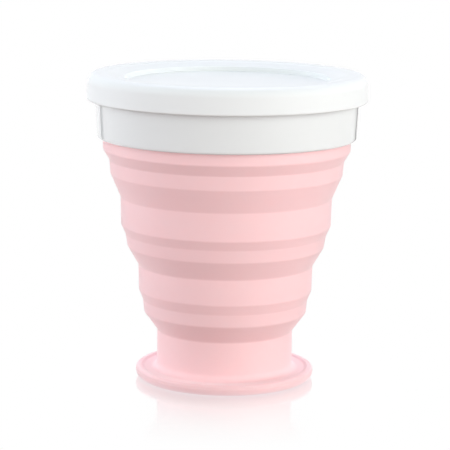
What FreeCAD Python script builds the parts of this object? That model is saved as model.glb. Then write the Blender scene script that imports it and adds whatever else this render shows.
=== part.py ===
"""Collapsible travel cup: a silicone bellows cup in a rigid collar, with a press-on lid.

The cup stands on the XY plane with its axis on +Z and its origin in the middle of the foot's underside.
Every sub-part is a solid of revolution: a closed sketch in the XZ plane turned about Z.
The silicone body is one moulding. It is divided here where it works differently: stiff zones
(foot disc, neck, two rings, rim sleeve) that keep their shape, and three thin fold webs that turn
inside out when the cup is pressed flat.
"""

import FreeCAD
import Part
import Sketcher
import os
from FreeCAD import Units

# Driving dimensions in millimetres: alias, size, what it is. Heights are measured from the table.
SIZES = [
    ("foot_radius", 28.5, "outer radius of the foot disc"),
    ("foot_height", 3.7, "height of the bead round the foot disc"),
    ("foot_web_height", 3.3, "height of the foot disc inside its bead"),
    ("foot_bead_width", 2.2, "width of the bead round the foot disc"),
    ("foot_edge_round", 0.9, "rounding of the foot disc's upper outer edge"),
    ("foot_base_round", 2.3, "rounding of the foot disc's lower outer edge"),
    ("foot_hollow_radius", 21.0, "radius of the shallow hollow under the foot"),
    ("foot_hollow_depth", 0.7, "depth of the shallow hollow under the foot"),
    ("stiff_wall", 1.8, "wall of the stiff silicone zones"),
    ("web_wall", 1.0, "wall of the fold webs"),
    ("neck_radius", 21.7, "outer radius of the neck"),
    ("neck_top", 15.8, "height of the neck's upper edge"),
    ("neck_flare", 2.2, "rounding between the neck and the foot disc"),
    ("lower_knee_radius", 26.0, "lower web: radius of its knee"),
    ("lower_knee", 21.6, "lower web: height of its knee"),
    ("lower_crease_radius", 26.4, "lower ring: radius of its lower edge"),
    ("lower_crease", 25.6, "lower ring: height of its lower edge"),
    ("lower_step_radius", 27.7, "lower ring: radius above its step"),
    ("lower_step", 28.8, "lower ring: height of its step"),
    ("lower_ring_radius", 27.9, "lower ring: radius of its upper edge"),
    ("lower_ring_top", 37.0, "lower ring: height of its upper edge"),
    ("middle_knee_radius", 31.4, "middle web: radius of its knee"),
    ("middle_knee", 43.0, "middle web: height of its knee"),
    ("middle_crease_radius", 32.1, "upper ring: radius of its lower edge"),
    ("middle_crease", 47.0, "upper ring: height of its lower edge"),
    ("upper_step_radius", 33.5, "upper ring: radius above its step"),
    ("upper_step", 50.0, "upper ring: height of its step"),
    ("upper_ring_radius", 33.7, "upper ring: radius of its upper edge"),
    ("upper_ring_top", 58.9, "upper ring: height of its upper edge"),
    ("upper_knee_radius", 36.9, "upper web: radius of its knee"),
    ("upper_knee", 66.3, "upper web: height of its knee"),
    ("upper_crease_radius", 37.3, "rim sleeve: radius of its lower edge"),
    ("upper_crease", 70.8, "rim sleeve: height of its lower edge"),
    ("sleeve_step", 74.2, "rim sleeve: height of its step"),
    ("sleeve_radius", 39.3, "rim sleeve: outer radius above its step and inside the collar"),
    ("sleeve_bead_radius", 40.1, "rim sleeve: radius of the bead that locks it in the collar"),
    ("sleeve_bead", 88.6, "rim sleeve: height of the bead's lower face"),
    ("sleeve_bead_height", 2.0, "rim sleeve: height of the bead"),
    ("collar_bottom", 77.9, "collar: height of its lower edge"),
    ("collar_bottom_radius", 41.3, "collar: outer radius at its lower edge"),
    ("collar_top", 92.9, "collar: height of its upper edge"),
    ("collar_top_radius", 41.9, "collar: outer radius at its upper edge"),
    ("collar_edge_round", 0.9, "collar: rounding of its lower outer edge"),
    ("collar_bead_reach", 0.4, "collar: how far its snap bead stands out"),
    ("collar_bead", 92.0, "collar: height of its snap bead"),
    ("collar_bead_height", 0.8, "collar: half the height of its snap bead"),
    ("retainer_bottom", 80.0, "retaining ring: height of its lower edge"),
    ("retainer_bore", 36.0, "retaining ring: inner radius, the mouth of the cup"),
    ("retainer_radius", 37.5, "retaining ring: outer radius of its sleeve"),
    ("retainer_lead", 0.9, "retaining ring: chamfer of its lower inner edge"),
    ("mouth_top", 94.3, "retaining ring: height of the drinking edge"),
    ("mouth_round", 0.6, "retaining ring: rounding of the drinking edge"),
    ("lid_top", 98.3, "lid: height of the crest of its rim"),
    ("lid_crest_radius", 37.6, "lid: radius at which its rim reaches the crest"),
    ("lid_crest_round", 4.0, "lid: rounding where the rim reaches its crest"),
    ("lid_radius", 44.6, "lid: outer radius at the foot of its skirt"),
    ("lid_shoulder_radius", 44.2, "lid: outer radius below its rounded shoulder"),
    ("lid_shoulder_round", 3.0, "lid: rounding of its shoulder"),
    ("lid_skirt_bottom", 89.9, "lid: height of its skirt's lower edge"),
    ("lid_wall", 1.6, "lid: wall of its skirt and its panel"),
    ("roof_under", 96.2, "lid: height of the underside of its roof, where the gasket sits"),
    ("lid_skirt_round", 0.5, "lid: rounding of its skirt's lower edge"),
    ("recess_radius", 32.6, "lid: radius of the recess in its top face"),
    ("recess_draft", 0.5, "lid: how far the recess wall leans in"),
    ("recess_edge", 96.9, "lid: height of the recess's upper edge"),
    ("recess_floor", 95.4, "lid: height of the recess's floor"),
    ("recess_round", 0.3, "lid: rounding of the recess edges"),
    ("plug_radius", 35.6, "lid: outer radius of the ring that enters the mouth"),
    ("plug_wall", 1.4, "lid: wall of that ring"),
    ("plug_bottom", 89.6, "lid: height of that ring's lower edge"),
    ("lug_reach", 0.35, "lid: how far its snap lugs stand in from the skirt"),
    ("lug_bottom", 90.6, "lid: height of the snap lugs' lower edge"),
    ("lug_height", 0.8, "lid: height of the snap lugs"),
    ("lug_angle", 22, "lid: length of each snap lug in degrees"),
    ("lug_count", 6, "lid: number of snap lugs"),
    ("gasket_bore", 35.9, "gasket: inner radius"),
    ("gasket_radius", 42.0, "gasket: outer radius"),
    ("gasket_round", 0.3, "gasket: rounding of its lower edges"),
]

doc = FreeCAD.newDocument("TravelCup")
sheet = doc.addObject("Spreadsheet::Sheet", "Sizes")


class Size:
    """A length worked out from the sheet: its number, and the expression that keeps it bound to the cells."""

    def __init__(self, number, text):
        self.number = number
        self.text = text

    def __add__(self, other):
        return Size(self.number + other.number, f"({self.text} + {other.text})")

    def __sub__(self, other):
        return Size(self.number - other.number, f"({self.text} - {other.text})")


def fill_sheet():
    """Writes the driving dimensions into the sheet and returns them by name."""
    sizes = {}
    for row, (alias, number, meaning) in enumerate(SIZES, start=1):
        sheet.set(f"A{row}", alias)
        sheet.set(f"B{row}", str(number))
        sheet.set(f"C{row}", meaning)
        sheet.setAlias(f"B{row}", alias)
        sizes[alias] = Size(float(number), f"Sizes.{alias}")
    doc.recompute()
    return sizes


def pin_coordinate(sketch, line, kind, axis, size):
    """Fixes one coordinate of a line's first point: on the axis if it is None, else at a bound distance."""
    if size is None:
        sketch.addConstraint(Sketcher.Constraint("PointOnObject", line, 1, axis))
        return
    number = sketch.addConstraint(Sketcher.Constraint(kind, -1, 1, line, 1, size.number))
    sketch.setExpression(f"Constraints[{number}]", size.text)


def draw_profile(body, name, corners):
    """Draws a closed outline of (radius, height) corners in the XZ plane. None is the axis, or the table."""
    sketch = body.newObject("Sketcher::SketchObject", name)
    plane = next(f for f in body.Origin.OriginFeatures if f.Role == "XZ_Plane")
    sketch.AttachmentSupport = [(plane, "")]
    sketch.MapMode = "FlatFace"
    points = [
        FreeCAD.Vector(radius.number if radius else 0, height.number if height else 0, 0)
        for radius, height in corners
    ]
    lines = [
        sketch.addGeometry(Part.LineSegment(start, end))
        for start, end in zip(points, points[1:] + points[:1])
    ]
    for line, following in zip(lines, lines[1:] + lines[:1]):
        sketch.addConstraint(Sketcher.Constraint("Coincident", line, 2, following, 1))
    for line, (radius, height) in zip(lines, corners):
        pin_coordinate(sketch, line, "DistanceX", -2, radius)
        pin_coordinate(sketch, line, "DistanceY", -1, height)
    return sketch


def turn(body, sketch, name, angle=None):
    """Turns a profile about Z, all the way round or through a bound angle that is centred on the XZ plane."""
    feature = body.newObject("PartDesign::Revolution", name)
    feature.Profile = sketch
    feature.ReferenceAxis = (sketch, ["V_Axis"])
    feature.Angle = 360
    if angle:
        feature.setExpression("Angle", angle.text)
        feature.Midplane = True
    doc.recompute()
    return feature


def turned_part(label, corners):
    """Makes a body that is one turned profile."""
    body = doc.addObject("PartDesign::Body", label)
    turn(body, draw_profile(body, f"{label}_profile", corners), f"{label}_turned")
    return body


def circle_edges(shape, places):
    """Names the circular edges of a shape that lie at the given (radius, height) places."""
    found = []
    for radius, height in places:
        for number, edge in enumerate(shape.Edges, start=1):
            curve = edge.Curve
            if not isinstance(curve, Part.Circle):
                continue
            if abs(curve.Radius - radius.number) < 1e-4 and abs(curve.Center.z - height.number) < 1e-4:
                found.append(f"Edge{number}")
    if len(found) != len(places):
        raise RuntimeError(f"found {len(found)} of {len(places)} edges to dress")
    return found


def round_edges(body, name, radius, places):
    """Rounds the circular edges at the given places."""
    base = body.Tip
    fillet = body.newObject("PartDesign::Fillet", name)
    fillet.Base = (base, circle_edges(base.Shape, places))
    fillet.setExpression("Radius", radius.text)
    doc.recompute()


def foot_disc(s):
    """Silicone disc that the cup stands on, with a rounded bead round its edge and a hollow underneath."""
    table = None
    axis = None
    hollow_top = s["foot_hollow_depth"]
    bead_inside = s["foot_radius"] - s["foot_bead_width"]
    body = turned_part("foot_disc", [
        (axis, hollow_top),
        (s["foot_hollow_radius"], hollow_top),
        (s["foot_hollow_radius"], table),
        (s["foot_radius"], table),
        (s["foot_radius"], s["foot_height"]),
        (bead_inside + s["foot_hollow_depth"], s["foot_height"]),
        (bead_inside, s["foot_web_height"]),
        (axis, s["foot_web_height"]),
    ])
    table_edge = Size(0.0, "0")
    round_edges(body, "foot_base", s["foot_base_round"], [(s["foot_radius"], table_edge)])
    round_edges(body, "foot_edge", s["foot_edge_round"], [(s["foot_radius"], s["foot_height"])])


def neck_wall(s):
    """Straight stiff wall between the foot disc and the lower web, flared where it meets the disc."""
    bore = s["neck_radius"] - s["stiff_wall"]
    flare_top = s["foot_web_height"] + s["neck_flare"]
    body = turned_part("neck_wall", [
        (bore, s["foot_web_height"]),
        (s["neck_radius"] + s["neck_flare"], s["foot_web_height"]),
        (s["neck_radius"], flare_top),
        (s["neck_radius"], s["neck_top"]),
        (bore, s["neck_top"]),
    ])
    round_edges(body, "neck_flare", s["neck_flare"], [(s["neck_radius"], flare_top)])


def fold_web(s, label, lower_radius, lower_height, stage):
    """Thin web that turns inside out: a slope from the stiff zone below to a knee, then an upright band."""
    knee_radius = s[f"{stage}_knee_radius"]
    knee = s[f"{stage}_knee"]
    crease_radius = s[f"{stage}_crease_radius"]
    crease = s[f"{stage}_crease"]
    turned_part(label, [
        (lower_radius - s["stiff_wall"], lower_height),
        (lower_radius, lower_height),
        (knee_radius, knee),
        (crease_radius, crease),
        (crease_radius - s["web_wall"], crease),
        (knee_radius - s["web_wall"], knee),
    ])


def stiff_ring(s, label, crease_stage, stage):
    """Stiff ring of the bellows: a nearly upright wall that steps in where the web below it hangs."""
    crease_radius = s[f"{crease_stage}_crease_radius"]
    crease = s[f"{crease_stage}_crease"]
    top_radius = s[f"{stage}_ring_radius"]
    top = s[f"{stage}_ring_top"]
    step_radius = s[f"{stage}_step_radius"]
    step = s[f"{stage}_step"]
    turned_part(label, [
        (crease_radius - s["web_wall"], crease),
        (crease_radius, crease),
        (step_radius, step),
        (top_radius, top),
        (top_radius - s["stiff_wall"], top),
        (step_radius - s["stiff_wall"], step),
    ])


def rim_sleeve(s):
    """Top of the silicone body: a step below the collar, and a sleeve in it whose bead sits in a groove."""
    bead_top = s["sleeve_bead"] + s["sleeve_bead_height"]
    turned_part("rim_sleeve", [
        (s["upper_crease_radius"] - s["web_wall"], s["upper_crease"]),
        (s["upper_crease_radius"], s["upper_crease"]),
        (s["sleeve_radius"], s["sleeve_step"]),
        (s["sleeve_radius"], s["sleeve_bead"]),
        (s["sleeve_bead_radius"], s["sleeve_bead"]),
        (s["sleeve_bead_radius"], bead_top),
        (s["sleeve_radius"], bead_top),
        (s["sleeve_radius"], s["collar_top"]),
        (s["retainer_radius"], s["collar_top"]),
        (s["retainer_radius"], s["sleeve_step"]),
    ])


def collar(s):
    """Rigid outer ring: a tapered band with a groove for the sleeve's bead and a snap bead for the lid."""
    groove_top = s["sleeve_bead"] + s["sleeve_bead_height"]
    bead_radius = s["collar_top_radius"] + s["collar_bead_reach"]
    body = turned_part("collar", [
        (s["sleeve_radius"], s["collar_bottom"]),
        (s["collar_bottom_radius"], s["collar_bottom"]),
        (s["collar_top_radius"], s["collar_bead"] - s["collar_bead_height"]),
        (bead_radius, s["collar_bead"]),
        (s["collar_top_radius"], s["collar_bead"] + s["collar_bead_height"]),
        (s["collar_top_radius"], s["collar_top"]),
        (s["sleeve_radius"], s["collar_top"]),
        (s["sleeve_radius"], groove_top),
        (s["sleeve_bead_radius"], groove_top),
        (s["sleeve_bead_radius"], s["sleeve_bead"]),
        (s["sleeve_radius"], s["sleeve_bead"]),
    ])
    round_edges(body, "collar_edge", s["collar_edge_round"],
                [(s["collar_bottom_radius"], s["collar_bottom"])])


def retaining_ring(s):
    """Rigid inner ring: it clamps the sleeve against the collar, and its flange is the drinking edge."""
    flange_radius = s["collar_top_radius"]
    body = turned_part("retaining_ring", [
        (s["retainer_bore"], s["retainer_bottom"] + s["retainer_lead"]),
        (s["retainer_bore"] + s["retainer_lead"], s["retainer_bottom"]),
        (s["retainer_radius"], s["retainer_bottom"]),
        (s["retainer_radius"], s["collar_top"]),
        (flange_radius, s["collar_top"]),
        (flange_radius, s["mouth_top"]),
        (s["retainer_bore"], s["mouth_top"]),
    ])
    round_edges(body, "drinking_edge", s["mouth_round"],
                [(flange_radius, s["mouth_top"]), (s["retainer_bore"], s["mouth_top"])])


def lid(s):
    """Press-on lid: recessed top, domed rim, skirt over the collar, plug ring in the mouth, snap lugs."""
    axis = None
    panel_top = s["recess_floor"]
    panel_under = panel_top - s["lid_wall"]
    roof_under = s["roof_under"]
    skirt_bore = s["lid_radius"] - s["lid_wall"]
    recess_floor_radius = s["recess_radius"] - s["recess_draft"]
    plug_bore = s["plug_radius"] - s["plug_wall"]
    body = turned_part("lid", [
        (axis, panel_under),
        (plug_bore, panel_under),
        (plug_bore, s["plug_bottom"]),
        (s["plug_radius"], s["plug_bottom"]),
        (s["plug_radius"], roof_under),
        (skirt_bore, roof_under),
        (skirt_bore, s["lid_skirt_bottom"]),
        (s["lid_radius"], s["lid_skirt_bottom"]),
        (s["lid_shoulder_radius"], s["lid_top"]),
        (s["lid_crest_radius"], s["lid_top"]),
        (s["recess_radius"], s["recess_edge"]),
        (recess_floor_radius, panel_top),
        (axis, panel_top),
    ])
    round_edges(body, "lid_shoulder", s["lid_shoulder_round"], [(s["lid_shoulder_radius"], s["lid_top"])])
    round_edges(body, "lid_crest", s["lid_crest_round"], [(s["lid_crest_radius"], s["lid_top"])])
    round_edges(body, "lid_soft_edges", s["lid_skirt_round"],
                [(s["lid_radius"], s["lid_skirt_bottom"]), (plug_bore, s["plug_bottom"]),
                 (s["plug_radius"], s["plug_bottom"])])
    round_edges(body, "recess_edges", s["recess_round"],
                [(s["recess_radius"], s["recess_edge"]), (recess_floor_radius, panel_top)])
    add_lugs(body, s, skirt_bore)


def add_lugs(body, s, skirt_bore):
    """Adds the snap lugs round the inside of the skirt: one short turned rib, patterned about Z."""
    lug_top = s["lug_bottom"] + s["lug_height"]
    inside = skirt_bore - s["lug_reach"]
    buried = skirt_bore + s["lug_reach"]
    sketch = draw_profile(body, "lug_profile", [
        (inside, s["lug_bottom"] + s["lug_reach"]),
        (skirt_bore, s["lug_bottom"]),
        (buried, s["lug_bottom"]),
        (buried, lug_top),
        (skirt_bore, lug_top),
    ])
    plain_volume = body.Tip.Shape.Volume
    lug = turn(body, sketch, "lug", s["lug_angle"])
    pattern = body.newObject("PartDesign::PolarPattern", "lugs")
    pattern.Originals = [lug]
    pattern.Axis = (sketch, ["V_Axis"])
    pattern.Angle = 360
    pattern.setExpression("Occurrences", s["lug_count"].text)
    body.Tip = pattern
    doc.recompute()
    if pattern.Shape.Volume <= lug.Shape.Volume or lug.Shape.Volume <= plain_volume:
        raise RuntimeError("the snap lugs added nothing to the lid")


def lid_gasket(s):
    """Flat silicone ring under the lid's roof: it seals on the drinking edge."""
    body = turned_part("lid_gasket", [
        (s["gasket_bore"], s["mouth_top"]),
        (s["gasket_radius"], s["mouth_top"]),
        (s["gasket_radius"], s["roof_under"]),
        (s["gasket_bore"], s["roof_under"]),
    ])
    round_edges(body, "gasket_edges", s["gasket_round"],
                [(s["gasket_bore"], s["mouth_top"]), (s["gasket_radius"], s["mouth_top"])])


def check_and_write():
    """Stops on any failed object or bad solid, then writes each body to its own STEP file."""
    doc.recompute()
    for item in doc.Objects:
        if "Invalid" in item.State or "Error" in item.State:
            raise RuntimeError(f"{item.Label} failed: {item.State}")
    bodies = [item for item in doc.Objects if item.TypeId == "PartDesign::Body"]
    for body in bodies:
        shape = body.Shape
        if shape.isNull() or not shape.isValid() or len(shape.Solids) != 1:
            raise RuntimeError(f"{body.Label} is not one valid solid")
    os.makedirs("parts", exist_ok=True)
    for body in bodies:
        body.Shape.exportStep(f"parts/{body.Label}.step")
        volume = Units.Quantity(body.Shape.Volume, Units.Volume).getValueAs("ml").Value
        print(f"{body.Label}: {volume:.2f} ml")


def main():
    """Builds every sub-part from the foot up, then writes them."""
    s = fill_sheet()
    foot_disc(s)
    neck_wall(s)
    fold_web(s, "lower_fold_web", s["neck_radius"], s["neck_top"], "lower")
    stiff_ring(s, "lower_ring", "lower", "lower")
    fold_web(s, "middle_fold_web", s["lower_ring_radius"], s["lower_ring_top"], "middle")
    stiff_ring(s, "upper_ring", "middle", "upper")
    fold_web(s, "upper_fold_web", s["upper_ring_radius"], s["upper_ring_top"], "upper")
    rim_sleeve(s)
    collar(s)
    retaining_ring(s)
    lid(s)
    lid_gasket(s)
    check_and_write()


main()
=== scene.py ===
"""Looks of the collapsible travel cup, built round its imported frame.

The cup is a silicone bellows body on a round foot, a rigid collar with an inner clamp ring, and a
press-on lid with a seal. Lengths in the classes are millimetres, and meshes are in metres. Every
piece is turned about Z, and takes its heights and outer radii from the frame.
"""

import logging
import math
from dataclasses import dataclass
from enum import Enum
from typing import Any, ClassVar, Iterable, Sequence

import bmesh
import bpy
from mathutils import Matrix, Quaternion, Vector


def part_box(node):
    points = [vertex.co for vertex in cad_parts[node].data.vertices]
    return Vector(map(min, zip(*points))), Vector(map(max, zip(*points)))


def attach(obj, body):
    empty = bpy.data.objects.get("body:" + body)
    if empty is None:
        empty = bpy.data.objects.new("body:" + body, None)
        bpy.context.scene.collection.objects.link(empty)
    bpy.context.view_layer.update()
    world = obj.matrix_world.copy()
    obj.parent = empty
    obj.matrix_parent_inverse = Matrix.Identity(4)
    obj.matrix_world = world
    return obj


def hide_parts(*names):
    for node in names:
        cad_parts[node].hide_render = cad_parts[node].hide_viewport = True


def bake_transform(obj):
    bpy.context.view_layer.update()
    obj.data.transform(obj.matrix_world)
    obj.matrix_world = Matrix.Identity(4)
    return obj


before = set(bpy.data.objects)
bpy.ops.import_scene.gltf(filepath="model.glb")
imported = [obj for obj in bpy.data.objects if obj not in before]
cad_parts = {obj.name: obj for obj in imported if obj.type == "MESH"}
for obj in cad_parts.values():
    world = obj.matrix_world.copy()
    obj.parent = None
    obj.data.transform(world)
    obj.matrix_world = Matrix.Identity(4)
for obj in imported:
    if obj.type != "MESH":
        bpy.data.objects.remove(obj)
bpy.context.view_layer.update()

MM = 0.001
FULL_TURN = 2 * math.pi
MILLILITRES = 1e6
LOG = logging.getLogger("travel_cup")


class Body(Enum):
    """Rigid bodies of the frame."""

    FOOT = "foot"
    LOWER_STAGE = "lower_stage"
    UPPER_STAGE = "upper_stage"
    RIM = "rim"
    LID = "lid"


class Slot(Enum):
    """Material slots of the record."""

    SILICONE = "pink_silicone"
    POLYPROPYLENE = "white_polypropylene"
    SEAL = "clear_silicone"


# ---------------------------------------------------------------- node trees


class Link:
    """An output socket that can be added, subtracted, multiplied and divided.

    Args:
        graph: The graph that the socket belongs to, which receives the Math nodes.
        socket: The output socket.
    """

    def __init__(self, graph: "Graph", socket: bpy.types.NodeSocket) -> None:
        """Keeps the graph and the socket."""
        self.graph = graph
        self.socket = socket

    def __add__(self, other: "Link | float") -> "Link":
        """Adds a link or a number."""
        return self.graph.maths("ADD", self, other)

    def __radd__(self, other: float) -> "Link":
        """Adds this link to a number."""
        return self.graph.maths("ADD", other, self)

    def __sub__(self, other: "Link | float") -> "Link":
        """Takes a link or a number away."""
        return self.graph.maths("SUBTRACT", self, other)

    def __rsub__(self, other: float) -> "Link":
        """Takes this link away from a number."""
        return self.graph.maths("SUBTRACT", other, self)

    def __mul__(self, other: "Link | float") -> "Link":
        """Multiplies by a link or a number."""
        return self.graph.maths("MULTIPLY", self, other)

    def __rmul__(self, other: float) -> "Link":
        """Multiplies a number by this link."""
        return self.graph.maths("MULTIPLY", other, self)

    def __truediv__(self, other: "Link | float") -> "Link":
        """Divides by a link or a number."""
        return self.graph.maths("DIVIDE", self, other)

    def __rtruediv__(self, other: float) -> "Link":
        """Divides a number by this link."""
        return self.graph.maths("DIVIDE", other, self)

    def clamped(self) -> "Link":
        """Keeps the value between 0 and 1."""
        return self.graph.maths("MINIMUM", self.graph.maths("MAXIMUM", self, 0.0), 1.0)


class Graph:
    """A shader or geometry node tree under construction.

    Args:
        tree: The tree that receives the nodes.
    """

    def __init__(self, tree: bpy.types.NodeTree) -> None:
        """Empties the tree."""
        self.tree = tree
        tree.nodes.clear()

    @staticmethod
    def _socket(sockets: Any, key: str) -> bpy.types.NodeSocket:
        """Finds a socket by its identifier, or else by its name."""
        for socket in sockets:
            if socket.identifier == key:
                return socket
        return next(socket for socket in sockets if socket.name == key and socket.enabled)

    def node(self, kind: str, settings: dict[str, Any] | None = None, **sockets: Any) -> bpy.types.Node:
        """Adds one node.

        Args:
            kind: The node's type.
            settings: The node's own properties, which are set before its sockets.
            **sockets: A value or a Link for each socket, with _ for a space in its name.

        Returns:
            The new node.
        """
        node = self.tree.nodes.new(kind)
        for name, value in (settings or {}).items():
            setattr(node, name, value)
        for name, value in sockets.items():
            names = {socket.identifier for socket in node.inputs}
            socket = self._socket(node.inputs, name if name in names else name.replace("_", " "))
            if isinstance(value, Link):
                self.tree.links.new(value.socket, socket)
            else:
                socket.default_value = value
        return node

    def out(self, node: bpy.types.Node, name: str) -> Link:
        """Wraps one of a node's outputs."""
        return Link(self, self._socket(node.outputs, name))

    def maths(self, operation: str, first: Link | float, second: Link | float = 0.0) -> Link:
        """Adds a Math node and returns its result."""
        node = self.tree.nodes.new("ShaderNodeMath")
        node.operation = operation
        for socket, value in zip(node.inputs, (first, second)):
            if isinstance(value, Link):
                self.tree.links.new(value.socket, socket)
            else:
                socket.default_value = value
        return Link(self, node.outputs[0])


# ---------------------------------------------------------------- turned shapes


@dataclass(frozen=True)
class Span:
    """How high and how far out a round CAD node reaches, in millimetres."""

    bottom: float
    top: float
    radius: float

    @classmethod
    def of(cls, node: str) -> "Span":
        """Measures one CAD node of the frame."""
        low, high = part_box(node)
        return cls(low.z / MM, high.z / MM, high.x / MM)


@dataclass(frozen=True)
class Corner:
    """A corner of a half section: its radius, its height and how much it is rounded."""

    radius: float
    height: float
    rounding: float = 0.0


class Outline:
    """The half section of a turned piece, as corners joined by straight runs.

    Args:
        corners: The corners in order. An outline that starts and ends on the axis stays open there.
        step: The longest straight run between two points.
    """

    ARC_STEP = math.radians(9)
    HOLD = 0.12
    LONGEST_ROUNDING = 0.49

    def __init__(self, corners: Sequence[Corner], step: float = 1.2) -> None:
        """Keeps the corners and notes whether they close on themselves."""
        self.corners = list(corners)
        self.step = step
        self.closed = corners[0].radius > 0

    def _rounded(self, index: int) -> list[Vector]:
        """Gives the points of one corner.

        Args:
            index: The corner's place in the outline.

        Returns:
            The corner itself, or the arc that rounds it.
        """
        count = len(self.corners)
        corner = self.corners[index]
        here = Vector((corner.radius, corner.height))
        if not corner.rounding or not (self.closed or 0 < index < count - 1):
            return [here]
        before = self.corners[index - 1]
        after = self.corners[(index + 1) % count]
        back = Vector((before.radius, before.height)) - here
        ahead = Vector((after.radius, after.height)) - here
        inside = back.angle(ahead)
        reach = min(
            corner.rounding / math.tan(inside / 2),
            self._room(back.length, before),
            self._room(ahead.length, after),
        )
        radius = reach * math.tan(inside / 2)
        bisector = (back.normalized() + ahead.normalized()).normalized()
        centre = here + bisector * (radius / math.sin(inside / 2))
        start = here + back.normalized() * reach - centre
        turn = start.angle_signed(here + ahead.normalized() * reach - centre)
        pieces = max(2, math.ceil(abs(turn) / self.ARC_STEP))
        return [centre + Matrix.Rotation(-turn * i / pieces, 2) @ start for i in range(pieces + 1)]

    def _room(self, length: float, neighbour: Corner) -> float:
        """Gives how much of a run a corner's rounding may take: half of it if its neighbour is round."""
        return self.LONGEST_ROUNDING * length * (1 if neighbour.rounding else 2)

    def _run(self, start: Vector, end: Vector) -> list[Vector]:
        """Gives the points strictly between two ends of a straight run, with one held near each end."""
        length = (end - start).length
        if length < 4 * self.HOLD:
            return []
        pieces = max(1, math.ceil((length - 2 * self.HOLD) / self.step))
        shares = [self.HOLD + (length - 2 * self.HOLD) * i / pieces for i in range(pieces + 1)]
        return [start.lerp(end, share / length) for share in shares]

    def points(self) -> list[Vector]:
        """Gives every point of the half section, in millimetres, ending where it starts if it is closed."""
        groups = [self._rounded(index) for index in range(len(self.corners))]
        if self.closed:
            groups.append(groups[0][:1])
        points = list(groups[0])
        for group in groups[1:]:
            points += self._run(points[-1], group[0])
            points += group
        return points


class Lathe:
    """Turns half sections into closed meshes with one shared Geometry Nodes tree."""

    SEGMENTS = 180
    WELD = 1e-6
    SHARP = math.radians(50)

    def __init__(self) -> None:
        """Builds the tree."""
        self.tree = bpy.data.node_groups.new("turned_piece", "GeometryNodeTree")
        self._fill_tree()

    def _fill_tree(self) -> None:
        """Lays a grid over the half section's points and turns it about Z."""
        graph = Graph(self.tree)
        interface = self.tree.interface
        interface.new_socket(name="Half Section", in_out="INPUT", socket_type="NodeSocketGeometry")
        interface.new_socket(name="Segments", in_out="INPUT", socket_type="NodeSocketInt")
        interface.new_socket(name="Finish", in_out="INPUT", socket_type="NodeSocketMaterial")
        interface.new_socket(name="Piece", in_out="OUTPUT", socket_type="NodeSocketGeometry")
        inputs = graph.node("NodeGroupInput")
        section = graph.out(inputs, "Half Section")
        segments = graph.out(inputs, "Segments")
        size = graph.node("GeometryNodeAttributeDomainSize", {"component": "MESH"}, Geometry=section)
        count = graph.out(size, "Point Count")
        grid = graph.node("GeometryNodeMeshGrid", Vertices_X=count, Vertices_Y=segments + 1.0)
        place = graph.out(graph.node("GeometryNodeInputPosition"), "Position")
        axes = graph.node("ShaderNodeSeparateXYZ", Vector=place)
        index = graph.maths("ROUND", (graph.out(axes, "X") + 0.5) * (count - 1.0))
        angle = (graph.out(axes, "Y") + 0.5) * FULL_TURN
        settings = {"data_type": "FLOAT_VECTOR", "domain": "POINT"}
        sample = graph.node(
            "GeometryNodeSampleIndex", settings, Geometry=section, Value=place, Index=index
        )
        point = graph.node("ShaderNodeSeparateXYZ", Vector=graph.out(sample, "Value"))
        radius = graph.out(point, "X")
        turned = graph.node(
            "ShaderNodeCombineXYZ",
            X=radius * graph.maths("COSINE", angle),
            Y=radius * graph.maths("SINE", angle),
            Z=graph.out(point, "Z"),
        )
        moved = graph.node(
            "GeometryNodeSetPosition", Geometry=graph.out(grid, "Mesh"), Position=graph.out(turned, "Vector")
        )
        welded = graph.node(
            "GeometryNodeMergeByDistance", Geometry=graph.out(moved, "Geometry"), Distance=self.WELD
        )
        smooth = graph.node("GeometryNodeSetShadeSmooth", Geometry=graph.out(welded, "Geometry"))
        realised = graph.node("GeometryNodeRealizeInstances", Geometry=graph.out(smooth, "Geometry"))
        finished = graph.node(
            "GeometryNodeSetMaterial",
            Geometry=graph.out(realised, "Geometry"),
            Material=graph.out(inputs, "Finish"),
        )
        graph.node("NodeGroupOutput", Piece=graph.out(finished, "Geometry"))

    def turn(self, name: str, outline: Outline, finish: bpy.types.Material) -> bpy.types.Object:
        """Turns one piece.

        Args:
            name: The piece's name.
            outline: Its half section.
            finish: Its material.

        Returns:
            The piece as a plain closed mesh, at the origin.
        """
        points = [Vector((point.x, 0, point.y)) * MM for point in outline.points()]
        mesh = bpy.data.meshes.new(name + "_section")
        mesh.from_pydata(points, [(i, i + 1) for i in range(len(points) - 1)], [])
        piece = bpy.data.objects.new(name, mesh)
        bpy.context.scene.collection.objects.link(piece)
        settle(piece, self.tree, {"Segments": self.SEGMENTS, "Finish": finish})
        make_outward(piece)
        piece.data.set_sharp_from_angle(angle=self.SHARP)
        return piece


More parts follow.
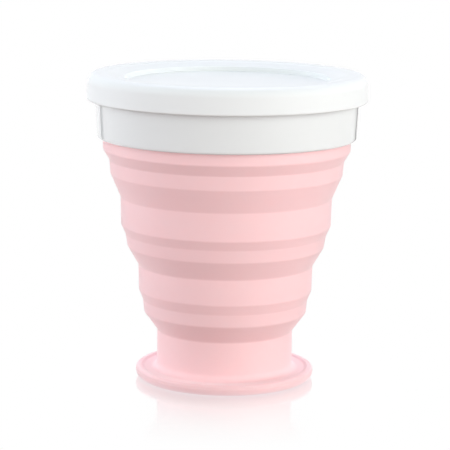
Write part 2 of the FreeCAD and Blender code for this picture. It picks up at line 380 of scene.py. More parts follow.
class Carousel:
    """Places copies of one small part evenly round Z with one shared Geometry Nodes tree."""

    def __init__(self) -> None:
        """Builds the tree."""
        self.tree = bpy.data.node_groups.new("copies_round_axis", "GeometryNodeTree")
        self._fill_tree()

    def _fill_tree(self) -> None:
        """Puts a copy on each of a row of points that all lie on the axis, each turned a step further."""
        graph = Graph(self.tree)
        interface = self.tree.interface
        interface.new_socket(name="Part", in_out="INPUT", socket_type="NodeSocketGeometry")
        interface.new_socket(name="Count", in_out="INPUT", socket_type="NodeSocketInt")
        interface.new_socket(name="Finish", in_out="INPUT", socket_type="NodeSocketMaterial")
        interface.new_socket(name="Piece", in_out="OUTPUT", socket_type="NodeSocketGeometry")
        inputs = graph.node("NodeGroupInput")
        count = graph.out(inputs, "Count")
        line = graph.node("GeometryNodeMeshLine", Count=count, Offset=(0.0, 0.0, 0.0))
        index = graph.out(graph.node("GeometryNodeInputIndex"), "Index")
        turn = graph.node("ShaderNodeCombineXYZ", Z=index / count * FULL_TURN)
        rotation = graph.node("FunctionNodeEulerToRotation", Euler=graph.out(turn, "Vector"))
        copies = graph.node(
            "GeometryNodeInstanceOnPoints",
            Points=graph.out(line, "Mesh"),
            Instance=graph.out(inputs, "Part"),
            Rotation=graph.out(rotation, "Rotation"),
        )
        realised = graph.node("GeometryNodeRealizeInstances", Geometry=graph.out(copies, "Instances"))
        finished = graph.node(
            "GeometryNodeSetMaterial",
            Geometry=graph.out(realised, "Geometry"),
            Material=graph.out(inputs, "Finish"),
        )
        graph.node("NodeGroupOutput", Piece=graph.out(finished, "Geometry"))

    def place(
        self, name: str, part: bmesh.types.BMesh, count: int, finish: bpy.types.Material
    ) -> bpy.types.Object:
        """Places one set of copies.

        Args:
            name: The piece's name.
            part: The part to copy, which is used up.
            count: How many copies stand round the axis.
            finish: Their material.

        Returns:
            All the copies as one plain mesh, at the origin.
        """
        mesh = bpy.data.meshes.new(name)
        part.to_mesh(mesh)
        part.free()
        piece = bpy.data.objects.new(name, mesh)
        bpy.context.scene.collection.objects.link(piece)
        settle(piece, self.tree, {"Count": count, "Finish": finish})
        make_outward(piece)
        return piece


@dataclass(frozen=True)
class GateMark:
    """Where the melt entered the mould: a shallow round dimple with the trimmed gate's nub in its middle."""

    radius: float
    depth: float
    nub_radius: float

    def corners(self, height: float) -> list[Corner]:
        """Gives the corners of a mark that is sunk upwards into a face at one height, from the axis out."""
        lifted = height + self.depth
        nub = height + self.depth / 3
        return [
            Corner(0.0, nub),
            Corner(self.nub_radius, nub, self.depth / 2),
            Corner(self.nub_radius, lifted, self.depth / 3),
            Corner(self.radius, lifted, self.depth),
            Corner(self.radius + self.depth, height, self.depth / 2),
        ]


def settle(piece: bpy.types.Object, tree: bpy.types.NodeTree, values: dict[str, Any]) -> None:
    """Runs a Geometry Nodes tree on a piece and keeps the result as a plain mesh.

    Args:
        piece: The object whose mesh is the tree's input.
        tree: The tree.
        values: The tree's other inputs by name.
    """
    modifier = piece.modifiers.new(tree.name, "NODES")
    modifier.node_group = tree
    for item in tree.interface.items_tree:
        if item.item_type == "SOCKET" and item.in_out == "INPUT" and item.name in values:
            modifier[item.identifier] = values[item.name]
    evaluated = piece.evaluated_get(bpy.context.evaluated_depsgraph_get())
    mesh = bpy.data.meshes.new_from_object(evaluated)
    piece.modifiers.remove(modifier)
    piece.data = mesh
    mesh.name = piece.name


def make_outward(piece: bpy.types.Object) -> None:
    """Points every face of a closed piece outwards."""
    work = bmesh.new()
    work.from_mesh(piece.data)
    bmesh.ops.recalc_face_normals(work, faces=work.faces)
    if work.calc_volume(signed=True) < 0:
        bmesh.ops.reverse_faces(work, faces=work.faces)
    work.to_mesh(piece.data)
    work.free()


# ---------------------------------------------------------------- finishes


@dataclass(frozen=True)
class SiliconeFinish:
    """Satin food-grade silicone, with the faint grain of a blasted mould."""

    name: str
    colour: tuple[float, float, float]
    roughness: float = 0.5
    sheen: float = 0.45
    depth: float = 0.12
    depth_radius: float = 1.5
    cloud_scale: float = 45.0
    cloud_strength: float = 0.035
    cloud_roughness: float = 0.08
    grain_scale: float = 2600.0
    grain_height: float = 0.006
    grain_roughness: float = 0.06

    def build(self) -> bpy.types.Material:
        """Builds the material."""
        material = bpy.data.materials.new(self.name)
        material.use_nodes = True
        graph = Graph(material.node_tree)
        place = graph.out(graph.node("ShaderNodeTexCoord"), "Object")
        clouds = graph.node("ShaderNodeTexNoise", Vector=place, Scale=self.cloud_scale, Detail=3.0)
        cloud = graph.out(clouds, "Fac")
        grains = graph.node("ShaderNodeTexNoise", Vector=place, Scale=self.grain_scale, Detail=2.0)
        grain = graph.out(grains, "Fac")
        deep = tuple(channel * (1 - self.cloud_strength) for channel in self.colour)
        colour = graph.node(
            "ShaderNodeMix",
            {"data_type": "RGBA"},
            Factor_Float=cloud,
            A_Color=(*deep, 1.0),
            B_Color=(*self.colour, 1.0),
        )
        bump = graph.node("ShaderNodeBump", Strength=1.0, Distance=self.grain_height * MM, Height=grain)
        least = self.roughness - (self.cloud_roughness + self.grain_roughness) / 2
        shader = graph.node(
            "ShaderNodeBsdfPrincipled",
            {"subsurface_method": "RANDOM_WALK"},
            Base_Color=graph.out(colour, "Result_Color"),
            Roughness=(cloud * self.cloud_roughness + grain * self.grain_roughness + least).clamped(),
            Normal=graph.out(bump, "Normal"),
            IOR=1.41,
            Sheen_Weight=self.sheen,
            Sheen_Roughness=0.45,
            Subsurface_Weight=self.depth,
            Subsurface_Radius=(1.0, 0.45, 0.4),
            Subsurface_Scale=self.depth_radius * MM,
        )
        graph.node("ShaderNodeOutputMaterial", Surface=graph.out(shader, "BSDF"))
        return material


@dataclass(frozen=True)
class PolypropyleneFinish:
    """White moulded polypropylene with a fine texture and faint scuffs, and a glossy skin if polished."""

    name: str
    colour: tuple[float, float, float]
    roughness: float = 0.22
    polish: float = 0.0
    depth: float = 0.08
    cloud_scale: float = 40.0
    cloud_strength: float = 0.015
    cloud_roughness: float = 0.04
    texture_scale: float = 1500.0
    texture_height: float = 0.0015
    scuff_scale: float = 260.0
    scuff_stretch: float = 14.0
    scuff_angle: float = 0.6
    scuff_start: float = 0.68
    scuff_contrast: float = 8.0
    scuff_roughness: float = 0.05
    scuff_depth: float = 0.5

    def build(self) -> bpy.types.Material:
        """Builds the material."""
        material = bpy.data.materials.new(self.name)
        material.use_nodes = True
        graph = Graph(material.node_tree)
        place = graph.out(graph.node("ShaderNodeTexCoord"), "Object")
        textures = graph.node("ShaderNodeTexNoise", Vector=place, Scale=self.texture_scale, Detail=2.0)
        texture = graph.out(textures, "Fac")
        clouds = graph.node("ShaderNodeTexNoise", Vector=place, Scale=self.cloud_scale, Detail=3.0)
        cloud = graph.out(clouds, "Fac")
        stretched = graph.node(
            "ShaderNodeMapping",
            Vector=place,
            Rotation=(0.0, 0.0, self.scuff_angle),
            Scale=(1.0, self.scuff_stretch, 1.0),
        )
        scratches = graph.node(
            "ShaderNodeTexNoise", Vector=graph.out(stretched, "Vector"), Scale=self.scuff_scale, Detail=4.0
        )
        scuff = ((graph.out(scratches, "Fac") - self.scuff_start) * self.scuff_contrast).clamped()
        deep = tuple(channel * (1 - self.cloud_strength) for channel in self.colour)
        colour = graph.node(
            "ShaderNodeMix",
            {"data_type": "RGBA"},
            Factor_Float=cloud,
            A_Color=(*deep, 1.0),
            B_Color=(*self.colour, 1.0),
        )
        height = texture - scuff * self.scuff_depth
        bump = graph.node("ShaderNodeBump", Strength=1.0, Distance=self.texture_height * MM, Height=height)
        least = self.roughness - self.cloud_roughness / 2
        shader = graph.node(
            "ShaderNodeBsdfPrincipled",
            {"subsurface_method": "RANDOM_WALK"},
            Base_Color=graph.out(colour, "Result_Color"),
            Roughness=(scuff * self.scuff_roughness + cloud * self.cloud_roughness + least).clamped(),
            Normal=graph.out(bump, "Normal"),
            IOR=1.49,
            Coat_Weight=self.polish,
            Coat_Roughness=0.05,
            Coat_IOR=1.5,
            Subsurface_Weight=self.depth,
            Subsurface_Radius=(1.0, 1.0, 1.0),
            Subsurface_Scale=1.0 * MM,
        )
        graph.node("ShaderNodeOutputMaterial", Surface=graph.out(shader, "BSDF"))
        return material


@dataclass(frozen=True)
class SweepFinish:
    """The studio's white sweep: even white, with a glossy patch round the foot that mirrors it a little."""

    name: str = "studio_sweep"
    glow: float = 1.0
    mirror: float = 0.62
    mirror_index: float = 2.0
    mirror_roughness: float = 0.12
    patch_start: float = 30.0
    patch_end: float = 90.0

    def build(self) -> bpy.types.Material:
        """Builds the material."""
        material = bpy.data.materials.new(self.name)
        material.use_nodes = True
        graph = Graph(material.node_tree)
        place = graph.out(graph.node("ShaderNodeTexCoord"), "Object")
        distances = graph.node("ShaderNodeVectorMath", {"operation": "LENGTH"}, Vector=place)
        distance = graph.out(distances, "Value")
        reach = (self.patch_end - self.patch_start) * MM
        patch = ((self.patch_end * MM - distance) / reach).clamped()
        fresnel = graph.out(graph.node("ShaderNodeFresnel", IOR=self.mirror_index), "Fac")
        white = graph.node("ShaderNodeEmission", Color=(1.0, 1.0, 1.0, 1.0), Strength=self.glow)
        gloss = graph.node(
            "ShaderNodeBsdfGlossy", Color=(1.0, 1.0, 1.0, 1.0), Roughness=self.mirror_roughness
        )
        mixed = graph.node(
            "ShaderNodeMixShader",
            Fac=(patch * patch * fresnel * self.mirror).clamped(),
            Shader=graph.out(white, "Emission"),
            Shader_001=graph.out(gloss, "BSDF"),
        )
        graph.node("ShaderNodeOutputMaterial", Surface=graph.out(mixed, "Shader"))
        return material


@dataclass(frozen=True)
class CardFinish:
    """A studio card of one colour, matt or lit from inside."""

    name: str
    colour: tuple[float, float, float]
    lit: bool = False

    def build(self) -> bpy.types.Material:
        """Builds the material."""
        material = bpy.data.materials.new(self.name)
        material.use_nodes = True
        graph = Graph(material.node_tree)
        if self.lit:
            glow = graph.node("ShaderNodeEmission", Color=(*self.colour, 1.0), Strength=1.0)
            surface = graph.out(glow, "Emission")
        else:
            matt = graph.node("ShaderNodeBsdfDiffuse", Color=(*self.colour, 1.0))
            surface = graph.out(matt, "BSDF")
        graph.node("ShaderNodeOutputMaterial", Surface=surface)
        return material


# ---------------------------------------------------------------- the silicone body


@dataclass(frozen=True)
class Fold:
    """One fold: a thin web from the stiff zone below it, and the step into the stiff zone above it."""

    web: str
    ring: str
    below: Body
    above: Body
    knee_radius: float
    knee_rise: float
    step_radius: float
    step_rise: float


@dataclass
class SiliconeBody:
    """The moulded bellows: foot disc, neck, two stiff rings and the sleeve under the collar.

    It is made in three lengths that meet on the plain wall of a ring. Each length crosses one fold.
    """

    lathe: Lathe
    finish: bpy.types.Material
    folds: tuple[Fold, ...] = (
        Fold(
            web="lower_fold_web",
            ring="lower_ring",
            below=Body.FOOT,
            above=Body.LOWER_STAGE,
            knee_radius=26.0,
            knee_rise=5.8,
            step_radius=27.7,
            step_rise=3.2,
        ),
        Fold(
            web="middle_fold_web",
            ring="upper_ring",
            below=Body.LOWER_STAGE,
            above=Body.UPPER_STAGE,
            knee_radius=31.4,
            knee_rise=6.0,
            step_radius=33.5,
            step_rise=3.0,
        ),
        Fold(
            web="upper_fold_web",
            ring="rim_sleeve",
            below=Body.UPPER_STAGE,
            above=Body.RIM,
            knee_radius=36.9,
            knee_rise=7.4,
            step_radius=39.3,
            step_rise=3.4,
        ),
    )
    neck_radius: float = 21.7
    ring_wall: float = 1.8
    web_wall: float = 1.0
    shoulder_rounding: float = 1.2
    knee_rounding: float = 1.4
    crease_rounding: float = 0.9
    step_rounding: float = 1.3
    hollow_radius: float = 21.0
    hollow_depth: float = 0.7
    hollow_rounding: float = 0.6
    hollow_edge_rounding: float = 0.5
    disc_edge_rounding: float = 0.9
    disc_base_rounding: float = 2.3
    bead_width: float = 2.2
    bead_drop: float = 0.4
    bead_rounding: float = 0.9
    bead_foot_rounding: float = 1.0
    flare: float = 2.2
    floor_rounding: float = 2.4
    sleeve_radius: float = 39.3
    sleeve_bore: float = 37.5
    sleeve_bead_drop: float = 4.3
    sleeve_bead_height: float = 2.0
    sleeve_bead_rounding: float = 0.3
    sleeve_nook_rounding: float = 0.2
    seam_share: float = 0.55
    flash_reach: float = 0.05
    gate: GateMark = GateMark(radius=2.6, depth=0.3, nub_radius=0.9)
    step: float = 0.5

    def _rising_wall(self, inside: bool) -> list[Corner]:
        """Gives the corners of the bellows wall from the neck up to the sleeve.

        Args:
            inside: Whether to give the drink side instead of the outer side.

        Returns:
            The corners, lowest first.
        """
        ring = self.ring_wall if inside else 0.0
        web = self.web_wall if inside else 0.0
        below = self.neck_radius
        corners = []
        for fold in self.folds:
            span = Span.of(fold.web)
            corners += [
                Corner(below - ring, span.bottom, self.shoulder_rounding),
                Corner(fold.knee_radius - web, span.bottom + fold.knee_rise, self.knee_rounding),
                Corner(span.radius - web, span.top, self.crease_rounding),
                Corner(fold.step_radius - ring, span.top + fold.step_rise, self.step_rounding),
            ]
            below = Span.of(fold.ring).radius
        return corners

    @staticmethod
    def _between(wall: Sequence[Corner], low: float, high: float) -> list[Corner]:
        """Cuts a rising wall off square at two heights.

        Args:
            wall: The wall's corners, lowest first.
            low: The lower cut.
            high: The upper cut.

        Returns:
            The corners between the cuts, with a plain corner at each cut that the wall reaches.
        """
        kept = []
        for start, end in zip(wall, wall[1:]):
            for cut in (low, high):
                if start.height < cut < end.height:
                    share = (cut - start.height) / (end.height - start.height)
                    kept.append(Corner(start.radius + (end.radius - start.radius) * share, cut))
            kept.append(end)
        kept.insert(0, wall[0])
        return sorted((c for c in kept if low <= c.height <= high), key=lambda c: c.height)

    def _seams(self) -> list[float]:
        """Gives the heights at which one length of the body ends and the next begins."""
        seams = []
        for fold in self.folds[:-1]:
            ring = Span.of(fold.ring)
            foot = ring.bottom + fold.step_rise
            seams.append(foot + (ring.top - foot) * self.seam_share)
        return seams

    def _foot_corners(self) -> tuple[list[Corner], list[Corner]]:
        """Gives the corners of the foot.

        Returns:
            The underside and the disc's edge up to the neck, and the cup's floor from the neck inwards.
        """
        disc = Span.of("foot_disc")
        web_top = disc.top - self.bead_drop
        bead = disc.radius - self.bead_width
        parting = disc.bottom + self.disc_base_rounding + self.flash_reach
        outside = [
            *self.gate.corners(self.hollow_depth),
            Corner(self.hollow_radius - self.hollow_depth, self.hollow_depth, self.hollow_rounding),
            Corner(self.hollow_radius, disc.bottom, self.hollow_edge_rounding),
            Corner(disc.radius, disc.bottom, self.disc_base_rounding),
            Corner(disc.radius, parting - self.flash_reach),
            Corner(disc.radius + self.flash_reach, parting),
            Corner(disc.radius, parting + self.flash_reach),
            Corner(disc.radius, disc.top, self.disc_edge_rounding),
            Corner(bead + self.bead_drop, disc.top, self.bead_rounding),
            Corner(bead - self.bead_drop, web_top, self.bead_foot_rounding),
            Corner(self.neck_radius, web_top, self.flare),
        ]
        inside = [
            Corner(self.neck_radius - self.ring_wall, web_top, self.floor_rounding),
            Corner(0.0, web_top),
        ]
        return outside, inside

    def _sleeve_corners(self) -> list[Corner]:
        """Gives the corners of the sleeve's upper end, with the bead that locks it in the collar."""
        sleeve = Span.of("rim_sleeve")
        bead_low = sleeve.top - self.sleeve_bead_drop
        bead_high = bead_low + self.sleeve_bead_height
        return [
            Corner(self.sleeve_radius, bead_low, self.sleeve_nook_rounding),
            Corner(sleeve.radius, bead_low, self.sleeve_bead_rounding),
            Corner(sleeve.radius, bead_high, self.sleeve_bead_rounding),
            Corner(self.sleeve_radius, bead_high, self.sleeve_nook_rounding),
            Corner(self.sleeve_radius, sleeve.top),
            Corner(self.sleeve_bore, sleeve.top),
        ]

    def build(self) -> list[bpy.types.Object]:
        """Builds the three lengths, hides the CAD nodes they stand for and returns them."""
        outer = self._rising_wall(inside=False)
        inner = self._rising_wall(inside=True)
        inner[-1] = Corner(self.sleeve_bore, inner[-1].height, self.step_rounding)
        low_seam, high_seam = self._seams()
        top = Span.of("rim_sleeve").bottom + self.folds[-1].step_rise
        outside, floor = self._foot_corners()
        sections = {
            "silicone_foot_length": outside
            + self._between(outer, 0.0, low_seam)
            + self._between(inner, 0.0, low_seam)[::-1]
            + floor,
            "silicone_middle_length": self._between(outer, low_seam, high_seam)
            + self._between(inner, low_seam, high_seam)[::-1],
            "silicone_mouth_length": self._between(outer, high_seam, top)
            + self._sleeve_corners()
            + self._between(inner, high_seam, top)[::-1],
        }
        stands_for = (
            ("foot_disc", "neck_wall", "lower_fold_web"),
            ("lower_ring", "middle_fold_web"),
            ("upper_ring", "upper_fold_web", "rim_sleeve"),
        )
        pieces = []
        for (name, corners), fold, nodes in zip(sections.items(), self.folds, stands_for):
            piece = self.lathe.turn(name, Outline(corners, self.step), self.finish)
            span = Span.of(fold.web)
            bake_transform(piece)
            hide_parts(*nodes)
            pieces.append(piece)
        return pieces


# ---------------------------------------------------------------- the rigid rim


@dataclass
class Rim:
    """The collar round the mouth and the clamp ring inside it."""

    lathe: Lathe
    finish: bpy.types.Material
    sleeve_radius: float = 39.3
    groove_radius: float = 40.1
    groove_drop: float = 4.3
    groove_height: float = 2.0
    foot_radius: float = 41.3
    top_radius: float = 41.9
    bead_height: float = 0.8
    bead_drop: float = 0.9
    bead_rounding: float = 0.4
    bead_foot_rounding: float = 0.3
    bead_top_rounding: float = 0.2
    foot_rounding: float = 0.9
    foot_inner_rounding: float = 0.6
    clamp_bore: float = 36.0
    clamp_radius: float = 37.5
    clamp_lead: float = 0.9
    clamp_lead_rounding: float = 0.5
    clamp_foot_rounding: float = 0.3
    clamp_edge_rounding: float = 0.15
    drinking_edge_rounding: float = 0.6

    def _collar(self) -> Outline:
        """Gives the collar's half section, with the groove for the sleeve and the snap bead for the lid."""
        span = Span.of("collar")
        bead = span.top - self.bead_drop
        groove_low = span.top - self.groove_drop
        groove_high = groove_low + self.groove_height
        return Outline([
            Corner(self.sleeve_radius, span.bottom, self.foot_inner_rounding),
            Corner(self.foot_radius, span.bottom, self.foot_rounding),
            Corner(self.top_radius, bead - self.bead_height, self.bead_foot_rounding),
            Corner(span.radius, bead, self.bead_rounding),
            Corner(self.top_radius, bead + self.bead_height, self.bead_top_rounding),
            Corner(self.top_radius, span.top),
            Corner(self.sleeve_radius, span.top),
            Corner(self.sleeve_radius, groove_high),
            Corner(self.groove_radius, groove_high),
            Corner(self.groove_radius, groove_low),
            Corner(self.sleeve_radius, groove_low),
        ])

    def _clamp(self) -> Outline:
        """Gives the clamp ring's half section; its flange is the drinking edge."""
        span = Span.of("retaining_ring")
        flange = Span.of("collar").top
        return Outline([
            Corner(self.clamp_bore, span.bottom + self.clamp_lead, self.clamp_lead_rounding),
            Corner(self.clamp_bore + self.clamp_lead, span.bottom, self.clamp_foot_rounding),
            Corner(self.clamp_radius, span.bottom, self.clamp_edge_rounding),
            Corner(self.clamp_radius, flange),
            Corner(span.radius, flange, self.clamp_edge_rounding),
            Corner(span.radius, span.top, self.drinking_edge_rounding),
            Corner(self.clamp_bore, span.top, self.drinking_edge_rounding),
        ])

    def build(self) -> list[bpy.types.Object]:
        """Builds the collar and the clamp ring on the rim and returns them."""
        pieces = []
        for name, node, outline in (
            ("collar_band", "collar", self._collar()),
            ("clamp_ring", "retaining_ring", self._clamp()),
        ):
            piece = self.lathe.turn(name, outline, self.finish)
            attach(piece, Body.RIM.value)
            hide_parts(node)
            pieces.append(piece)
        return pieces


# ---------------------------------------------------------------- the lid


@dataclass
class Lid:
    """The press-on lid with its skirt, plug ring and snap lugs, and the flat seal under its roof."""

    LUG_PIECES: ClassVar[int] = 12

    lathe: Lathe
    carousel: Carousel
    finish: bpy.types.Material
    seal_finish: bpy.types.Material
    wall: float = 1.6
    skirt_bottom: float = 89.9
    skirt_rounding: float = 0.6
    skirt_inner_rounding: float = 0.35
    inner_rounding: float = 0.8
    shoulder_radius: float = 44.2
    shoulder_rounding: float = 3.0
    crest_radius: float = 37.6
    crest_rounding: float = 4.0
    recess_radius: float = 32.6
    recess_draft: float = 0.5
    recess_rounding: float = 0.35
    recess_edge_drop: float = 1.4
    recess_floor_drop: float = 2.9
    plug_radius: float = 35.6
    plug_wall: float = 1.4
    plug_rounding: float = 0.5
    plug_root_rounding: float = 0.3
    seal_bore: float = 35.9
    seal_rounding: float = 0.3
    seal_top_rounding: float = 0.1
    gate: GateMark = GateMark(radius=3.4, depth=0.35, nub_radius=0.8)
    lug_count: int = 6
    lug_angle: float = 22.0
    lug_taper: float = 3.0
    lug_rise: float = 0.7
    lug_height: float = 0.8
    lug_reach: float = 0.35

    def _shell(self) -> Outline:
        """Gives the lid's half section."""
        span = Span.of("lid")
        panel = span.top - self.recess_floor_drop
        roof = Span.of("lid_gasket").top
        bore = span.radius - self.wall
        plug_bore = self.plug_radius - self.plug_wall
        return Outline([
            *self.gate.corners(panel - self.wall),
            Corner(plug_bore, panel - self.wall, self.inner_rounding),
            Corner(plug_bore, span.bottom, self.plug_rounding),
            Corner(self.plug_radius, span.bottom, self.plug_rounding),
            Corner(self.plug_radius, roof, self.plug_root_rounding),
            Corner(bore, roof, self.inner_rounding),
            Corner(bore, self.skirt_bottom, self.skirt_inner_rounding),
            Corner(span.radius, self.skirt_bottom, self.skirt_rounding),
            Corner(self.shoulder_radius, span.top, self.shoulder_rounding),
            Corner(self.crest_radius, span.top, self.crest_rounding),
            Corner(self.recess_radius, span.top - self.recess_edge_drop, self.recess_rounding),
            Corner(self.recess_radius - self.recess_draft, panel, self.recess_rounding),
            Corner(0.0, panel),
        ])

    def _lug(self) -> bmesh.types.BMesh:
        """Makes one snap lug: a short rib inside the skirt, centred on +X, whose ends fade into the wall."""
        bore = Span.of("lid").radius - self.wall
        low = self.skirt_bottom + self.lug_rise
        high = low + self.lug_height
        work = bmesh.new()
        rings = []
        half = self.lug_angle / 2
        for i in range(self.LUG_PIECES + 1):
            turn = half * (2 * i / self.LUG_PIECES - 1)
            fade = min(1.0, (half - abs(turn)) / self.lug_taper)
            reach = self.lug_reach * math.sin(fade * math.pi / 2)
            section = (
                (bore + self.lug_reach, low),
                (bore, low),
                (bore - reach, low + self.lug_reach),
                (bore - reach, high - self.lug_reach / 2),
                (bore, high),
                (bore + self.lug_reach, high),
            )
            spin = Matrix.Rotation(math.radians(turn), 3, "Z")
            rings.append([work.verts.new(spin @ Vector((r, 0, z)) * MM) for r, z in section])
        for ring, following in zip(rings, rings[1:]):
            for i in range(len(ring)):
                j = (i + 1) % len(ring)
                work.faces.new((ring[i], ring[j], following[j], following[i]))
        work.faces.new(rings[0][::-1])
        work.faces.new(rings[-1])
        return work

    def build(self) -> list[bpy.types.Object]:
        """Builds the lid with its snap lugs and its seal and returns them."""
        shell = self.lathe.turn("lid_shell", self._shell(), self.finish)
        lugs = self.carousel.place("lid_snap_lugs", self._lug(), self.lug_count, self.finish)
        for piece in (shell, lugs):
            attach(piece, Body.LID.value)
            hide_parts("lid")
        span = Span.of("lid_gasket")
        ring = Outline([
            Corner(self.seal_bore, span.bottom, self.seal_rounding),
            Corner(span.radius, span.bottom, self.seal_rounding),
            Corner(span.radius, span.top, self.seal_top_rounding),
            Corner(self.seal_bore, span.top, self.seal_top_rounding),
        ])
        seal = self.lathe.turn("lid_seal", ring, self.seal_finish)
        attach(seal, Body.LID.value)
        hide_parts("lid_gasket")
        return [shell, lugs, seal]


# ---------------------------------------------------------------- the studio


@dataclass(frozen=True)
class Glow:
    """A soft patch of light on the studio's walls, brightest along one direction from the cup."""

    azimuth: float
    elevation: float
    strength: float
    colour: tuple[float, float, float] = (1.0, 1.0, 1.0)
    tightness: float = 8.0

    def direction(self) -> Vector:
        """Gives the unit vector from the cup to the middle of the patch."""
        azimuth = math.radians(self.azimuth)
        elevation = math.radians(self.elevation)
        return Vector((
            math.sin(azimuth) * math.cos(elevation),
            -math.cos(azimuth) * math.cos(elevation),
            math.sin(elevation),
        ))


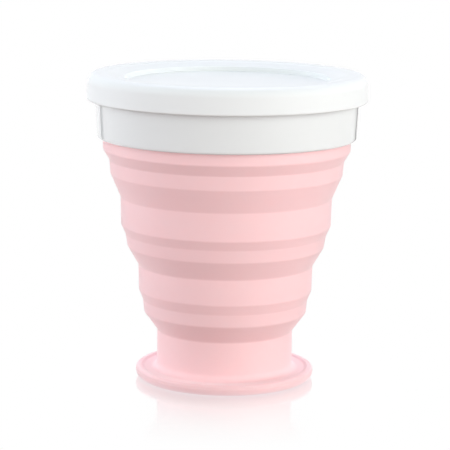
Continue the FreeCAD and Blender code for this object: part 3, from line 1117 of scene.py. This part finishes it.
@dataclass
class Studio:
    """A white sweep over a bounce card and a light table, two dark flags, a lit room and the camera."""

    CURVE_PIECES: ClassVar[int] = 8
    ROUND_PIECES: ClassVar[int] = 96

    sweep_radius: float = 2500.0
    sweep_curve: float = 600.0
    sweep_height: float = 2500.0
    card_radius: float = 1500.0
    card_depth: float = 25.0
    card_colour: tuple[float, float, float] = (0.36, 0.25, 0.23)
    light_table_radius: float = 31.0
    light_table_depth: float = 3.0
    light_table_colour: tuple[float, float, float] = (0.9, 1.0, 1.05)
    left_flag_azimuth: float = -134.0
    right_flag_azimuth: float = 147.5
    flag_distance: float = 260.0
    flag_width: float = 30.0
    flag_height: float = 56.0
    flag_colour: tuple[float, float, float] = (0.02, 0.02, 0.02)
    room_light: float = 0.12
    room_colour: tuple[float, float, float] = (0.97, 0.98, 1.0)
    aim_height: float = 49.4
    camera_distance: float = 671.0
    camera_pitch: float = 10.2
    camera_roll: float = 0.7
    camera_shift: float = -0.002
    lens: float = 167.8
    glows: tuple[Glow, ...] = (
        Glow(55.0, 5.0, 6.4, (1.0, 1.0, 0.985)),
        Glow(-95.0, 5.0, 6.05, (0.97, 1.0, 1.05)),
        Glow(-5.0, 5.0, 1.4),
        Glow(145.0, 5.0, 0.65),
        Glow(175.0, 37.0, 1.8, (0.98, 1.0, 1.24)),
        Glow(180.0, 65.0, 1.15, (1.0, 1.0, 1.15)),
    )

    def build(self) -> None:
        """Builds the sweep, the cards, the lit room and the camera."""
        self._build_sweep()
        self._lay_card(self.card_radius, self.card_depth, CardFinish("bounce_card", self.card_colour))
        light_table = CardFinish("light_table", self.light_table_colour, lit=True)
        self._lay_card(self.light_table_radius, self.light_table_depth, light_table)
        self._build_flag("left_flag", self.left_flag_azimuth)
        self._build_flag("right_flag", self.right_flag_azimuth)
        self._build_room()
        self._build_camera()

    def _build_sweep(self) -> None:
        """Turns the white sweep: a floor that curves up into a wall all round."""
        inner = self.sweep_radius - self.sweep_curve
        points = [Vector((0, 0, 0)), Vector((inner, 0, 0))]
        for i in range(1, self.CURVE_PIECES + 1):
            angle = math.radians(90) * i / self.CURVE_PIECES
            points.append(
                Vector((
                    inner + self.sweep_curve * math.sin(angle),
                    0,
                    self.sweep_curve * (1 - math.cos(angle)),
                ))
            )
        points.append(Vector((self.sweep_radius, 0, self.sweep_height)))
        work = bmesh.new()
        verts = [work.verts.new(point * MM) for point in points]
        edges = [work.edges.new(pair) for pair in zip(verts, verts[1:])]
        bmesh.ops.spin(
            work,
            geom=verts + edges,
            axis=(0, 0, 1),
            cent=(0, 0, 0),
            angle=FULL_TURN,
            steps=self.ROUND_PIECES,
            use_merge=True,
        )
        bmesh.ops.remove_doubles(work, verts=work.verts, dist=MM)
        bmesh.ops.recalc_face_normals(work, faces=work.faces)
        sweep = self._stand(work, SweepFinish().build())
        sweep.visible_diffuse = False
        sweep.visible_shadow = False

    def _lay_card(self, radius: float, depth: float, finish: CardFinish) -> None:
        """Lays a round card under the floor, which only throws light up at the cup.

        Args:
            radius: The card's radius.
            depth: How far under the floor it lies.
            finish: Its finish.
        """
        work = bmesh.new()
        bmesh.ops.create_circle(work, cap_ends=True, segments=self.ROUND_PIECES, radius=radius * MM)
        bmesh.ops.translate(work, verts=work.verts, vec=(0, 0, -depth * MM))
        card = self._stand(work, finish.build())
        card.visible_camera = False
        card.visible_glossy = False

    def _build_flag(self, name: str, azimuth: float) -> None:
        """Stands a narrow dark card behind the cup, which only its glossy edges mirror.

        Args:
            name: The card's name.
            azimuth: Where it stands, in degrees from the front.
        """
        turn = Matrix.Rotation(math.radians(azimuth), 4, "Z")
        work = bmesh.new()
        corners = ((-1, 0), (1, 0), (1, 1), (-1, 1))
        work.faces.new([
            work.verts.new(
                turn @ Vector((side * self.flag_width / 2, -self.flag_distance, up * self.flag_height)) * MM
            )
            for side, up in corners
        ])
        flag = self._stand(work, CardFinish(name, self.flag_colour).build())
        flag.visible_camera = False
        flag.visible_diffuse = False
        flag.visible_shadow = False

    @staticmethod
    def _stand(work: bmesh.types.BMesh, finish: bpy.types.Material) -> bpy.types.Object:
        """Makes a mesh part of the studio, named as its finish."""
        mesh = bpy.data.meshes.new(finish.name)
        work.to_mesh(mesh)
        work.free()
        mesh.materials.append(finish)
        stand = bpy.data.objects.new(finish.name, mesh)
        bpy.context.scene.collection.objects.link(stand)
        return stand

    def _build_room(self) -> None:
        """Lights the room: a dim even light and the soft patches on its walls."""
        world = bpy.data.worlds.new("studio_room")
        world.use_nodes = True
        graph = Graph(world.node_tree)
        toward = graph.out(graph.node("ShaderNodeTexCoord"), "Generated")
        even = tuple(self.room_light * channel for channel in self.room_colour)
        light = graph.out(graph.node("ShaderNodeCombineXYZ", X=even[0], Y=even[1], Z=even[2]), "Vector")
        for glow in self.glows:
            dots = graph.node(
                "ShaderNodeVectorMath",
                {"operation": "DOT_PRODUCT"},
                Vector=toward,
                Vector_001=glow.direction(),
            )
            patch = graph.maths("POWER", graph.out(dots, "Value").clamped(), glow.tightness)
            tinted = graph.node(
                "ShaderNodeVectorMath",
                {"operation": "SCALE"},
                Vector=glow.colour,
                Scale=patch * glow.strength,
            )
            added = graph.node(
                "ShaderNodeVectorMath",
                {"operation": "ADD"},
                Vector=light,
                Vector_001=graph.out(tinted, "Vector"),
            )
            light = graph.out(added, "Vector")
        background = graph.node("ShaderNodeBackground", Color=light, Strength=1.0)
        graph.node("ShaderNodeOutputWorld", Surface=graph.out(background, "Background"))
        bpy.context.scene.world = world
        bpy.context.scene.view_settings.view_transform = "Standard"

    def _build_camera(self) -> None:
        """Sets the camera in front of the cup and a little above it."""
        pitch = math.radians(self.camera_pitch)
        away = Vector((0, -math.cos(pitch), math.sin(pitch)))
        data = bpy.data.cameras.new("camera")
        data.lens = self.lens
        data.sensor_width = 36.0
        data.shift_x = self.camera_shift
        camera = bpy.data.objects.new("camera", data)
        camera.location = Vector((0, 0, self.aim_height * MM)) + away * self.camera_distance * MM
        camera.rotation_mode = "QUATERNION"
        roll = Quaternion((0, 0, 1), math.radians(self.camera_roll))
        camera.rotation_quaternion = away.to_track_quat("Z", "Y") @ roll
        bpy.context.scene.collection.objects.link(camera)
        bpy.context.scene.camera = camera


# ---------------------------------------------------------------- the whole cup


def report(pieces: Iterable[bpy.types.Object]) -> None:
    """Logs each piece with its triangle count and volume."""
    for piece in pieces:
        work = bmesh.new()
        work.from_mesh(piece.data)
        open_edges = sum(1 for edge in work.edges if not edge.is_manifold)
        triangles = sum(len(face.verts) - 2 for face in work.faces)
        volume = work.calc_volume(signed=True) * MILLILITRES
        work.free()
        LOG.info("%s: %d triangles, %.2f ml, %d open edges", piece.name, triangles, volume, open_edges)


def main() -> None:
    """Builds the cup from the foot up, then the studio round it."""
    logging.basicConfig(level=logging.INFO, format="%(name)s: %(message)s")
    lathe = Lathe()
    pink = SiliconeFinish("pink_silicone", (0.92, 0.618, 0.628)).build()
    milky = SiliconeFinish("clear_silicone", (0.84, 0.85, 0.86), roughness=0.4).build()
    white = PolypropyleneFinish("white_polypropylene", (0.785, 0.825, 0.82)).build()
    # The collar's and clamp ring's white is a darker copy of the lid's white. Its glossy coat is real, and
    # its darker base is painted shade for the collar sitting under the lid's skirt.
    polished = PolypropyleneFinish("shaded_polished_polypropylene", (0.735, 0.775, 0.77), polish=1.0).build()
    report(SiliconeBody(lathe, pink).build())
    report(Rim(lathe, polished).build())
    report(Lid(lathe, Carousel(), white, milky).build())
    Studio().build()


if __name__ == "__main__":
    main()
